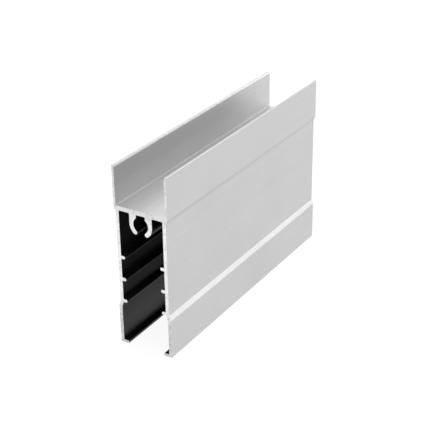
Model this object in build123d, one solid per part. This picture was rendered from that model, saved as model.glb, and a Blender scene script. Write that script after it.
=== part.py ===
from build123d import *

import math
import os

# Bottom rail profile of a sliding wardrobe door, a short sawn sample of one aluminium extrusion.
# The door panel stands in the channel at the top. A web closes that channel from below and carries
# an open screw port, and the two legs under it make the channel that houses the door's roller.
# X runs across the section, Y along the extrusion and Z up. The origin is on the plane that the
# feet stand on, under the middle of the sample. Lengths are in millimetres, angles in degrees.

# Overall sizes
length = 87.5
height = 57.0
width = 18.0

# Panel channel: thin walls above the web, their inner edges bevelled to lead the panel in
panel_wall = 0.7
panel_depth = 12.15
panel_floor_radius = 0.18
rim_round_share = 0.2
bevel_share = 0.3
bevel_depth = 0.65
bevel_radius = 0.3

# Web between the two channels
web_thickness = 1.35
web_corner_radius = 0.4

# Legs: a skirt at the foot, and above it a middle band that is set in from the outer faces
leg_wall = 1.05
band_recess = 0.6
upper_slope_start = 0.5
upper_slope_height = 1.5
skirt_height = 12.35
lower_slope_height = 1.7
slope_radius = 0.3
foot_round_share = 0.25

# Ribs on the inner face of each leg, the lowest one right above the slope
rib_count = 3
rib_pitch = 7.15
rib_thickness = 1.0
rib_reach = 1.3
rib_tip_share = 0.45
rib_root_radius = 0.2

# Lips that turn inwards at the feet
lip_thickness = 0.9
lip_reach = 1.7
lip_round_share = 0.22

# Screw port under the web: two curled arms round a bore that a self-tapping screw cuts into
port_bore_radius = 2.5
port_wall = 1.3
port_drop = 3.0
port_neck = 3.0
port_mouth = 2.6
port_root_radius = 0.3

# Rounds that a wall limits, each a share of the wall it is on
rim_radius = rim_round_share * panel_wall
foot_radius = foot_round_share * leg_wall
rib_tip_radius = rib_tip_share * rib_thickness
lip_radius = lip_round_share * lip_thickness

# Places across the section
outer_x = width / 2
panel_x = outer_x - panel_wall
bevel_x = panel_x + bevel_share * panel_wall
band_x = outer_x - band_recess
band_inner_x = band_x - leg_wall
skirt_inner_x = outer_x - leg_wall
rib_tip_x = band_inner_x - rib_reach
lip_tip_x = skirt_inner_x - lip_reach

# Places up the section
panel_floor_z = height - panel_depth
web_under_z = panel_floor_z - web_thickness
upper_slope_top_z = panel_floor_z - upper_slope_start
upper_slope_foot_z = upper_slope_top_z - upper_slope_height
lower_slope_top_z = skirt_height + lower_slope_height

# The lower slope keeps the wall's thickness, so its inner corners lie a little under the outer ones
slope_angle = math.atan2(band_recess, lower_slope_height)
slope_shift = leg_wall * math.tan(slope_angle / 2)
lowest_rib_z = lower_slope_top_z - slope_shift + rib_thickness / 2


def outside_corners():
    """The right wall's outer face from foot to rim, then down the panel channel to its floor."""
    return [
        (outer_x, 0, foot_radius),
        (outer_x, skirt_height, slope_radius),
        (band_x, lower_slope_top_z, slope_radius),
        (band_x, upper_slope_foot_z, slope_radius),
        (outer_x, upper_slope_top_z, slope_radius),
        (outer_x, height, rim_radius),
        (bevel_x, height, rim_radius),
        (panel_x, height - bevel_depth, bevel_radius),
        (panel_x, panel_floor_z, panel_floor_radius),
    ]


def rib_corners(z):
    """One rib, from its upper root round the tip to its lower root."""
    upper_z = z + rib_thickness / 2
    lower_z = z - rib_thickness / 2
    return [
        (band_inner_x, upper_z, rib_root_radius),
        (rib_tip_x, upper_z, rib_tip_radius),
        (rib_tip_x, lower_z, rib_tip_radius),
        (band_inner_x, lower_z, rib_root_radius),
    ]


def inside_corners():
    """The right leg's inner face, from the web down over the ribs and the slope to the lip."""
    corners = [(band_inner_x, web_under_z, web_corner_radius)]
    for step in reversed(range(rib_count)):
        corners += rib_corners(lowest_rib_z + step * rib_pitch)
    corners += [
        (skirt_inner_x, skirt_height - slope_shift, slope_radius),
        (skirt_inner_x, lip_thickness, lip_radius),
        (lip_tip_x, lip_thickness, lip_radius),
        (lip_tip_x, 0, lip_radius),
    ]
    return corners


def mirrored(corners):
    """The same corners on the left, in the order that carries the outline on."""
    return [(-x, z, radius) for x, z, radius in reversed(corners)]


def walls_and_web():
    """The section without its port, one closed outline with a radius at every corner."""
    outside = outside_corners()
    inside = inside_corners()
    corners = outside + mirrored(outside) + mirrored(inside) + inside
    points = [(x, z) for x, z, radius in corners]
    radii = [radius for x, z, radius in corners]
    return make_face(FilletPolyline(*points, radius=radii, close=True))


def port_arm():
    """The port's right arm: straight down from the web, then curled under to a rounded tip."""
    neck_x = port_neck / 2
    outer_radius = port_bore_radius + port_wall
    middle_radius = port_bore_radius + port_wall / 2
    root_z = web_under_z + web_thickness / 2
    axis_z = web_under_z - port_drop
    neck_z = axis_z + math.sqrt(port_bore_radius**2 - neck_x**2)
    mouth_angle = math.degrees(math.asin((port_mouth + port_wall) / 2 / middle_radius))
    neck_angle = 180 - math.degrees(math.asin(neck_x / port_bore_radius))
    root = [(neck_x, neck_z), (neck_x, root_z), (outer_radius, root_z), (outer_radius, axis_z)]
    straight = Polyline(*root)
    curl = JernArc(straight @ 1, straight % 1, outer_radius, mouth_angle - 90)
    tip = JernArc(curl @ 1, curl % 1, port_wall / 2, -180)
    bore = JernArc(tip @ 1, tip % 1, port_bore_radius, neck_angle - mouth_angle)
    return make_face([straight, curl, tip, bore])


def profile_section():
    """The whole section, with the port's arms blended into the underside of the web."""
    arm = port_arm()
    section = walls_and_web() + arm + mirror(arm, Plane.YZ)
    root_x = (port_bore_radius + port_wall, port_neck / 2)
    roots = [
        section.vertices().sort_by_distance((side * x, web_under_z))[0]
        for side in (-1, 1)
        for x in root_x
    ]
    return fillet(roots, port_root_radius)


bottom_rail_profile = extrude(Plane.XZ * profile_section(), length / 2, both=True)

os.makedirs("parts", exist_ok=True)
export_step(bottom_rail_profile, "parts/bottom_rail_profile.step")
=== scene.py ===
import logging
import math
from dataclasses import dataclass
from enum import Enum
from typing import Any, Sequence

import bpy
from mathutils import Matrix, Vector


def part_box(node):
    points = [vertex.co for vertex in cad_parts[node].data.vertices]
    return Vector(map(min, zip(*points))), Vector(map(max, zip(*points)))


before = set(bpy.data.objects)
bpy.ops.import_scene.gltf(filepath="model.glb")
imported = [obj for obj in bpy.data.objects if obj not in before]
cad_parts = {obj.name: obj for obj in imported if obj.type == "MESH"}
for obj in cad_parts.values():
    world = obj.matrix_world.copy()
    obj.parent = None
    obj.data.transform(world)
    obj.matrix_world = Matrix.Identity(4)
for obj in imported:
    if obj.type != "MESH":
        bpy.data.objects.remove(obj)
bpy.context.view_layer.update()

log = logging.getLogger("bottom_rail_profile")

MM = 0.001
FRAME_PX = 428

# A Mix node's colour sockets by number, because its float sockets share their names.
COLOUR_A, COLOUR_B, COLOUR_OUT = 6, 7, 2

# A ring pattern repeats every pi / 10 of its coordinate at a scale of one.
RING_PERIOD = math.pi / 10

Colour = tuple[float, float, float, float]
Span = tuple[float, float]

WHITE: Colour = (1.0, 1.0, 1.0, 1.0)


class BackgroundRay(Enum):
    """The rays that see the studio as plain white."""

    CAMERA = "Is Camera Ray"
    GLOSSY = "Is Glossy Ray"
    TRANSMISSION = "Is Transmission Ray"


class Softbox(Enum):
    """The softboxes round the table."""

    HIGH = "high_softbox"
    LOW = "low_softbox"


def linear(hex_colour: str) -> Colour:
    """Turns an sRGB colour into the linear one that a shader takes.

    Args:
        hex_colour: Six hex digits, two each for red, green and blue.

    Returns:
        Linear red, green and blue, with an alpha of one.
    """
    shares = [int(hex_colour[i : i + 2], 16) / 255 for i in (0, 2, 4)]
    red, green, blue = (
        s / 12.92 if s <= 0.04045 else ((s + 0.055) / 1.055) ** 2.4 for s in shares
    )
    return (red, green, blue, 1.0)


def per_metre(size_mm: float) -> float:
    """How many pattern cells of this size go into a metre."""
    return 1 / (size_mm * MM)


def add_node(
    tree: bpy.types.NodeTree,
    kind: str,
    settings: dict[str, Any] | None = None,
    inputs: dict[int | str, Any] | None = None,
) -> bpy.types.Node:
    """Adds one node with its settings, and sets or links its inputs.

    Args:
        tree: The node tree that gets the node.
        kind: Blender's name for the node's type.
        settings: The node's own properties.
        inputs: A value, or an output socket to link, for each input by its name or number.

    Returns:
        The new node.
    """
    node = tree.nodes.new(kind)
    for name, value in (settings or {}).items():
        setattr(node, name, value)
    for name, value in (inputs or {}).items():
        if isinstance(value, bpy.types.NodeSocket):
            tree.links.new(value, node.inputs[name])
        else:
            node.inputs[name].default_value = value
    return node


def background_strength(
    tree: bpy.types.NodeTree, seen: float, lighting: float
) -> bpy.types.NodeSocket:
    """One strength for rays that see the background, another for those that only light things.

    Args:
        tree: The node tree of the floor's material or of the world.
        seen: The strength for camera, glossy and transmission rays.
        lighting: The strength for all other rays.

    Returns:
        The socket that carries the strength.
    """
    path = add_node(tree, "ShaderNodeLightPath")
    total = path.outputs[BackgroundRay.CAMERA.value]
    for ray in (BackgroundRay.GLOSSY, BackgroundRay.TRANSMISSION):
        total = add_node(
            tree,
            "ShaderNodeMath",
            {"operation": "MAXIMUM"},
            {0: total, 1: path.outputs[ray.value]},
        ).outputs["Value"]
    strength = add_node(
        tree, "ShaderNodeMapRange", inputs={"Value": total, "To Min": lighting, "To Max": seen}
    )
    return strength.outputs["Result"]


@dataclass(frozen=True)
class Layer:
    """What one finish gives the shader: three sockets of the same tree."""

    colour: bpy.types.NodeSocket
    roughness: bpy.types.NodeSocket
    height: bpy.types.NodeSocket


@dataclass(frozen=True)
class SatinAnodising:
    """Silver anodising over etched, extruded aluminium.

    The etch leaves an even, silky grey without a mirror image, and the die leaves faint lines
    along the extrusion. Real die lines are a few hundredths of a millimetre apart and the etch
    is finer still, so both are drawn some ten times coarser to show at all.
    """

    light: str = "D9D9D9"
    dark: str = "C5C5C5"
    metallic: float = 0.75
    smooth: float = 0.38
    rough: float = 0.46
    tone_span: Span = (0.3, 0.7)
    die_line_mm: float = 0.45
    die_line_length_mm: float = 140.0
    die_line_detail: float = 2.0
    die_line_breakup: float = 0.6
    etch_mm: float = 0.22
    etch_detail: float = 1.0
    etch_share: float = 0.35
    cloud_mm: float = 24.0
    cloud_detail: float = 3.0
    cloud_breakup: float = 0.55
    cloud_share: float = 0.5

    def lay(self, tree: bpy.types.NodeTree, place: bpy.types.NodeSocket) -> Layer:
        """Adds this finish's nodes.

        Args:
            tree: The material's node tree.
            place: Object coordinates, in metres.

        Returns:
            The colour, roughness and height of the finish.
        """
        across, along = per_metre(self.die_line_mm), per_metre(self.die_line_length_mm)
        lines_at = add_node(
            tree,
            "ShaderNodeMapping",
            inputs={"Vector": place, "Scale": (across, along, across)},
        )
        lines = add_node(
            tree,
            "ShaderNodeTexNoise",
            inputs={
                "Vector": lines_at.outputs["Vector"],
                "Scale": 1.0,
                "Detail": self.die_line_detail,
                "Roughness": self.die_line_breakup,
            },
        )
        etch = add_node(
            tree,
            "ShaderNodeTexNoise",
            inputs={
                "Vector": place,
                "Scale": per_metre(self.etch_mm),
                "Detail": self.etch_detail,
            },
        )
        clouds = add_node(
            tree,
            "ShaderNodeTexNoise",
            inputs={
                "Vector": place,
                "Scale": per_metre(self.cloud_mm),
                "Detail": self.cloud_detail,
                "Roughness": self.cloud_breakup,
            },
        )
        tone = add_node(
            tree,
            "ShaderNodeMix",
            {"data_type": "FLOAT"},
            {"Factor": self.cloud_share, "A": lines.outputs["Fac"], "B": clouds.outputs["Fac"]},
        )
        colour = add_node(
            tree,
            "ShaderNodeMix",
            {"data_type": "RGBA"},
            {
                "Factor": tone.outputs["Result"],
                COLOUR_A: linear(self.dark),
                COLOUR_B: linear(self.light),
            },
        )
        darkest, lightest = self.tone_span
        roughness = add_node(
            tree,
            "ShaderNodeMapRange",
            inputs={
                "Value": tone.outputs["Result"],
                "From Min": darkest,
                "From Max": lightest,
                "To Min": self.rough,
                "To Max": self.smooth,
            },
        )
        height = add_node(
            tree,
            "ShaderNodeMix",
            {"data_type": "FLOAT"},
            {"Factor": self.etch_share, "A": lines.outputs["Fac"], "B": etch.outputs["Fac"]},
        )
        return Layer(
            colour.outputs[COLOUR_OUT], roughness.outputs["Result"], height.outputs["Result"]
        )


@dataclass(frozen=True)
class SawnMetal:
    """Bare aluminium as a circular saw leaves it.

    The cut is brighter than the anodised skin, with flat arcs from the teeth and faint flecks
    where chips were dragged over it. It is duller at the top, as where a blade goes in. Towards
    the feet it is painted darker: painted shade for the dimmer table that the low part of the
    cut mirrors. Feed marks of about a tenth of a millimetre are drawn four times coarser to
    show.
    """

    bright: str = "F4F4F4"
    # the dull colour of the flecks and of the top, and the painted shade towards the feet
    dull_and_shade: str = "B4B4B4"
    metallic: float = 1.0
    smooth: float = 0.38
    rough: float = 0.55
    blade_centre_mm: Span = (-70.0, -150.0)
    feed_mm: float = 0.4
    feed_wander: float = 2.0
    feed_detail: float = 2.0
    feed_detail_scale: float = 0.6
    fleck_mm: float = 0.7
    fleck_detail: float = 3.0
    fleck_breakup: float = 0.6
    fleck_span: Span = (0.42, 0.64)
    fleck_share: float = 0.35
    fleck_relief_share: float = 0.4
    entry_mm: Span = (41.0, 44.0)
    entry_share: float = 0.3
    # painted shade: the cut is darkened towards the feet
    foot_shade_mm: Span = (20.0, 8.0)
    foot_shade_share: float = 0.55

    def lay(self, tree: bpy.types.NodeTree, place: bpy.types.NodeSocket) -> Layer:
        """Adds this finish's nodes.

        Args:
            tree: The material's node tree.
            place: Object coordinates, in metres.

        Returns:
            The colour, roughness and height of the finish.
        """
        x, z = self.blade_centre_mm
        from_blade = add_node(
            tree,
            "ShaderNodeMapping",
            inputs={"Vector": place, "Location": (-x * MM, 0.0, -z * MM)},
        )
        arcs = add_node(
            tree,
            "ShaderNodeTexWave",
            {"wave_type": "RINGS", "rings_direction": "Y"},
            {
                "Vector": from_blade.outputs["Vector"],
                "Scale": RING_PERIOD * per_metre(self.feed_mm),
                "Distortion": self.feed_wander,
                "Detail": self.feed_detail,
                "Detail Scale": self.feed_detail_scale,
            },
        )
        flecks = add_node(
            tree,
            "ShaderNodeTexNoise",
            inputs={
                "Vector": place,
                "Scale": per_metre(self.fleck_mm),
                "Detail": self.fleck_detail,
                "Roughness": self.fleck_breakup,
            },
        )
        clean, flecked = self.fleck_span
        dragged = add_node(
            tree,
            "ShaderNodeMapRange",
            {"interpolation_type": "SMOOTHSTEP"},
            {"Value": flecks.outputs["Fac"], "From Min": clean, "From Max": flecked},
        )
        parts = add_node(tree, "ShaderNodeSeparateXYZ", inputs={"Vector": place})
        # the dulling at the top, and the painted shade towards the feet
        dull_and_foot_shade = []
        for (clear_mm, darkest_mm), share in (
            (self.entry_mm, self.entry_share),
            (self.foot_shade_mm, self.foot_shade_share),
        ):
            ramp = add_node(
                tree,
                "ShaderNodeMapRange",
                {"interpolation_type": "SMOOTHSTEP"},
                {
                    "Value": parts.outputs["Z"],
                    "From Min": clear_mm * MM,
                    "From Max": darkest_mm * MM,
                    "To Max": share,
                },
            )
            dull_and_foot_shade.append(ramp.outputs["Result"])
        either = add_node(
            tree, "ShaderNodeMath", {"operation": "MAXIMUM"}, {0: dull_and_foot_shade[0], 1: dull_and_foot_shade[1]}
        )
        flecks_dull_and_shade = add_node(
            tree,
            "ShaderNodeMath",
            {"operation": "MULTIPLY_ADD", "use_clamp": True},
            {0: dragged.outputs["Result"], 1: self.fleck_share, 2: either.outputs["Value"]},
        )
        colour = add_node(
            tree,
            "ShaderNodeMix",
            {"data_type": "RGBA"},
            {
                "Factor": flecks_dull_and_shade.outputs["Value"],
                COLOUR_A: linear(self.bright),
                COLOUR_B: linear(self.dull_and_shade),
            },
        )
        roughness = add_node(
            tree,
            "ShaderNodeMapRange",
            inputs={
                "Value": flecks.outputs["Fac"],
                "To Min": self.smooth,
                "To Max": self.rough,
            },
        )
        height = add_node(
            tree,
            "ShaderNodeMix",
            {"data_type": "FLOAT"},
            {
                "Factor": self.fleck_relief_share,
                "A": arcs.outputs["Fac"],
                "B": flecks.outputs["Fac"],
            },
        )
        return Layer(
            colour.outputs[COLOUR_OUT], roughness.outputs["Result"], height.outputs["Result"]
        )


@dataclass(frozen=True)
class PaintedChannelShade:
    """Painted shade in the roller channel: a near-black colour on its faces stands in for the
    shade deep in the channel.

    The dark colour takes nearly all of the light, so that the channel's walls only show a dim,
    soft image of the table through its open foot.
    """

    # painted shade: the near-black colour for the shade inside the roller channel
    shade_colour: str = "363636"
    wall_mm: float = 8.2
    ceiling_mm: float = 44.2
    foot_mm: float = 0.06

    def mask(
        self, tree: bpy.types.NodeTree, place: bpy.types.NodeSocket
    ) -> bpy.types.NodeSocket:
        """Finds the faces between the legs and under the web, without the feet's undersides, for
        the painted shade.

        Args:
            tree: The material's node tree.
            place: Object coordinates, in metres.

        Returns:
            One in the roller channel, zero elsewhere.
        """
        parts = add_node(tree, "ShaderNodeSeparateXYZ", inputs={"Vector": place})
        aside = add_node(
            tree, "ShaderNodeMath", {"operation": "ABSOLUTE"}, {0: parts.outputs["X"]}
        )
        tests = (
            ("LESS_THAN", aside.outputs["Value"], self.wall_mm),
            ("LESS_THAN", parts.outputs["Z"], self.ceiling_mm),
            ("GREATER_THAN", parts.outputs["Z"], self.foot_mm),
        )
        inside: bpy.types.NodeSocket | float = 1.0
        for operation, value, limit_mm in tests:
            test = add_node(
                tree, "ShaderNodeMath", {"operation": operation}, {0: value, 1: limit_mm * MM}
            )
            both = add_node(
                tree,
                "ShaderNodeMath",
                {"operation": "MULTIPLY"},
                {0: inside, 1: test.outputs["Value"]},
            )
            inside = both.outputs["Value"]
        return inside


@dataclass(frozen=True)
class AnodisedExtrusion:
    """The whole profile's metal: anodised all over, bare where it was sawn to length, and with
    painted shade on the roller channel's faces.
    """

    name: str = "satin_silver_anodised_aluminium"
    skin: SatinAnodising = SatinAnodising()
    # the painted shade on the roller channel's faces
    channel_shade: PaintedChannelShade = PaintedChannelShade()
    cut: SawnMetal = SawnMetal()
    relief_mm: float = 0.02
    relief_strength: float = 0.25
    end_on_share: float = 0.5
    chip_mm: float = 0.3
    chip_detail: float = 2.0
    chip_breakup: float = 0.6
    chip_span: Span = (0.35, 0.8)
    chip_reach_mm: float = 0.12

    def material(self, half_length: float) -> bpy.types.Material:
        """Makes the material.

        Args:
            half_length: From the middle of the extrusion to a sawn end, in metres.

        Returns:
            The finished material, for the profile's slot.
        """
        material = bpy.data.materials.new(self.name)
        material.use_nodes = True
        tree = material.node_tree
        tree.nodes.clear()
        where = add_node(tree, "ShaderNodeTexCoord")
        place = where.outputs["Object"]
        skin, cut = self.skin.lay(tree, place), self.cut.lay(tree, place)
        is_cut = self.cut_mask(tree, place, where.outputs["Normal"], half_length)
        # the roller channel's faces take the painted shade colour in place of the anodised skin
        skin_with_shade = add_node(
            tree,
            "ShaderNodeMix",
            {"data_type": "RGBA"},
            {
                "Factor": self.channel_shade.mask(tree, place),
                COLOUR_A: skin.colour,
                COLOUR_B: linear(self.channel_shade.shade_colour),
            },
        )
        colour = add_node(
            tree,
            "ShaderNodeMix",
            {"data_type": "RGBA"},
            {"Factor": is_cut, COLOUR_A: skin_with_shade.outputs[COLOUR_OUT], COLOUR_B: cut.colour},
        )
        metallic, roughness, height = (
            add_node(
                tree,
                "ShaderNodeMix",
                {"data_type": "FLOAT"},
                {"Factor": is_cut, "A": on_skin, "B": on_cut},
            )
            for on_skin, on_cut in (
                (self.skin.metallic, self.cut.metallic),
                (skin.roughness, cut.roughness),
                (skin.height, cut.height),
            )
        )
        relief = add_node(
            tree,
            "ShaderNodeBump",
            inputs={
                "Strength": self.relief_strength,
                "Distance": self.relief_mm * MM,
                "Height": height.outputs["Result"],
            },
        )
        metal = add_node(
            tree,
            "ShaderNodeBsdfPrincipled",
            inputs={
                "Base Color": colour.outputs[COLOUR_OUT],
                "Metallic": metallic.outputs["Result"],
                "Roughness": roughness.outputs["Result"],
                "Normal": relief.outputs["Normal"],
            },
        )
        add_node(tree, "ShaderNodeOutputMaterial", inputs={"Surface": metal.outputs["BSDF"]})
        return material

    def cut_mask(
        self,
        tree: bpy.types.NodeTree,
        place: bpy.types.NodeSocket,
        facing: bpy.types.NodeSocket,
        half_length: float,
    ) -> bpy.types.NodeSocket:
        """Finds the sawn faces, and a ragged hairline round them where the anodising chipped.

        Args:
            tree: The material's node tree.
            place: Object coordinates, in metres.
            facing: The surface's direction in the object's own axes.
            half_length: From the middle of the extrusion to a sawn end, in metres.

        Returns:
            One on bare metal, zero elsewhere.
        """
        turned, placed = (
            add_node(tree, "ShaderNodeSeparateXYZ", inputs={"Vector": vector})
            for vector in (facing, place)
        )
        end_on, from_middle = (
            add_node(tree, "ShaderNodeMath", {"operation": "ABSOLUTE"}, {0: parts.outputs["Y"]})
            for parts in (turned, placed)
        )
        chips = add_node(
            tree,
            "ShaderNodeTexNoise",
            inputs={
                "Vector": place,
                "Scale": per_metre(self.chip_mm),
                "Detail": self.chip_detail,
                "Roughness": self.chip_breakup,
            },
        )
        whole, chipped = self.chip_span
        reach = add_node(
            tree,
            "ShaderNodeMapRange",
            inputs={
                "Value": chips.outputs["Fac"],
                "From Min": whole,
                "From Max": chipped,
                "To Min": half_length,
                "To Max": half_length - self.chip_reach_mm * MM,
            },
        )
        face, edge = (
            add_node(tree, "ShaderNodeMath", {"operation": "GREATER_THAN"}, {0: value, 1: limit})
            for value, limit in (
                (end_on.outputs["Value"], self.end_on_share),
                (from_middle.outputs["Value"], reach.outputs["Result"]),
            )
        )
        bare = add_node(
            tree,
            "ShaderNodeMath",
            {"operation": "MAXIMUM"},
            {0: face.outputs["Value"], 1: edge.outputs["Value"]},
        )
        return bare.outputs["Value"]


@dataclass(frozen=True)
class OpalAcrylic:
    """Matt opal acrylic, as on a light table.

    It glows an even white from below, so that shadows on it are faint, and it has no sheen.
    """

    name: str = "matt_opal_acrylic"
    top_light: str = "808080"
    glow: float = 0.92

    def material(self) -> bpy.types.Material:
        """Makes the material: white from above, and nothing to see from below.

        Returns:
            The finished material, for the floor's slot.
        """
        material = bpy.data.materials.new(self.name)
        material.use_nodes = True
        tree = material.node_tree
        tree.nodes.clear()
        matt = add_node(tree, "ShaderNodeBsdfDiffuse", inputs={"Color": linear(self.top_light)})
        glow = add_node(
            tree,
            "ShaderNodeEmission",
            inputs={"Color": WHITE, "Strength": background_strength(tree, self.glow, 0.0)},
        )
        lit = add_node(
            tree,
            "ShaderNodeAddShader",
            inputs={0: matt.outputs["BSDF"], 1: glow.outputs["Emission"]},
        )
        clear = add_node(tree, "ShaderNodeBsdfTransparent")
        side = add_node(tree, "ShaderNodeNewGeometry")
        both = add_node(
            tree,
            "ShaderNodeMixShader",
            inputs={
                0: side.outputs["Backfacing"],
                1: lit.outputs["Shader"],
                2: clear.outputs["BSDF"],
            },
        )
        add_node(tree, "ShaderNodeOutputMaterial", inputs={"Surface": both.outputs["Shader"]})
        return material


@dataclass
class BottomRailProfile:
    """The extrusion itself, which the CAD gives whole: it only needs its metal."""

    node: str = "bottom_rail_profile"
    slot: str = "anodised_aluminium"
    metal: AnodisedExtrusion = AnodisedExtrusion()

    def dress(self) -> bpy.types.Object:
        """Puts the metal on the profile.

        Returns:
            The dressed profile.
        """
        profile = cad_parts[self.node]
        material = self.metal.material(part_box(self.node)[1].y)
        for slot in profile.material_slots:
            slot.material = material
        return profile


@dataclass
class Studio:
    """The table and the white surround."""

    floor_size_mm: float = 8000.0
    floor_drop_mm: float = 0.03
    surround_seen: float = 1.0
    surround_light: float = 0.4
    top: OpalAcrylic = OpalAcrylic()

    def build_floor(self) -> bpy.types.Object:
        """Puts the table top just under the feet.

        Returns:
            The table top.
        """
        bpy.ops.object.select_all(action="DESELECT")
        bpy.ops.mesh.primitive_plane_add(
            size=self.floor_size_mm * MM, location=(0.0, 0.0, -self.floor_drop_mm * MM)
        )
        floor = bpy.context.object
        floor.name = "table_top"
        floor.data.materials.append(self.top.material())
        return floor

    def build_surround(self) -> bpy.types.World:
        """Hangs an even white all round.

        Returns:
            The world.
        """
        world = bpy.data.worlds.new("white_surround")
        world.use_nodes = True
        tree = world.node_tree
        tree.nodes.clear()
        strength = background_strength(tree, self.surround_seen, self.surround_light)
        white = add_node(
            tree, "ShaderNodeBackground", inputs={"Color": WHITE, "Strength": strength}
        )
        add_node(tree, "ShaderNodeOutputWorld", inputs={"Surface": white.outputs["Background"]})
        bpy.context.scene.world = world
        return world


@dataclass
class SoftboxLamp:
    """One softbox, a rectangle of even light that faces the middle of the profile."""

    which: Softbox
    place_mm: tuple[float, float, float]
    size_mm: Span
    radiance: float
    aim_mm: tuple[float, float, float] = (0.0, 0.0, 28.0)

    def build(self) -> bpy.types.Object:
        """Sets the softbox up.

        Returns:
            The lamp.
        """
        place, aim = Vector(self.place_mm) * MM, Vector(self.aim_mm) * MM
        turn = (place - aim).to_track_quat("Z", "Y").to_euler()
        bpy.ops.object.light_add(type="AREA", location=place, rotation=turn)
        lamp = bpy.context.object
        lamp.name = self.which.value
        lamp.data.shape = "RECTANGLE"
        lamp.data.size, lamp.data.size_y = (side * MM for side in self.size_mm)
        lamp.data.energy = self.radiance * math.pi * lamp.data.size * lamp.data.size_y
        lamp.visible_camera = False
        return lamp


@dataclass
class PhotoCamera:
    """The photograph's camera, as a fit of the profile's corners in it gives it."""

    place_mm: tuple[float, float, float] = (163.83, -266.14, 182.24)
    azimuth: float = 32.166
    elevation: float = 26.677
    roll: float = -0.924
    focal_px: float = 1123.7
    sensor_mm: float = 36.0
    clip_start_mm: float = 10.0

    def build(self) -> bpy.types.Object:
        """Sets the camera up as the scene's own.

        Returns:
            The camera.
        """
        azimuth, elevation = math.radians(self.azimuth), math.radians(self.elevation)
        back = Vector(
            (
                math.sin(azimuth) * math.cos(elevation),
                -math.cos(azimuth) * math.cos(elevation),
                math.sin(elevation),
            )
        )
        right = Vector((0.0, 0.0, 1.0)).cross(back).normalized()
        level = Matrix((right, back.cross(right), back)).transposed()
        turn = level @ Matrix.Rotation(math.radians(self.roll), 3, "Z")
        bpy.ops.object.camera_add(location=Vector(self.place_mm) * MM, rotation=turn.to_euler())
        camera = bpy.context.object
        camera.name = "photo_camera"
        camera.data.sensor_width = self.sensor_mm
        camera.data.lens = self.focal_px / FRAME_PX * self.sensor_mm
        camera.data.clip_start = self.clip_start_mm * MM
        bpy.context.scene.camera = camera
        return camera


def main() -> None:
    """Builds the studio round the profile and dresses the profile."""
    logging.basicConfig(level=logging.INFO, format="%(message)s")
    bpy.context.scene.view_settings.view_transform = "Standard"

    camera = PhotoCamera().build()
    log.info("camera %s, lens %.1f mm", camera.name, camera.data.lens)

    studio = Studio()
    log.info("floor %s", studio.build_floor().name)
    log.info("surround %s", studio.build_surround().name)

    softboxes = [
        SoftboxLamp(
            which=Softbox.HIGH,
            place_mm=(-20.0, 250.0, 700.0),
            size_mm=(1100.0, 1100.0),
            radiance=0.85,
        ),
        SoftboxLamp(
            which=Softbox.LOW,
            place_mm=(825.0, 580.0, 115.0),
            size_mm=(760.0, 210.0),
            radiance=3.5,
        ),
    ]
    for softbox in softboxes:
        log.info("softbox %s", softbox.build().name)

    profile = BottomRailProfile().dress()
    log.info("piece %s in %s", profile.name, profile.material_slots[0].material.name)


if __name__ == "__main__":
    main()
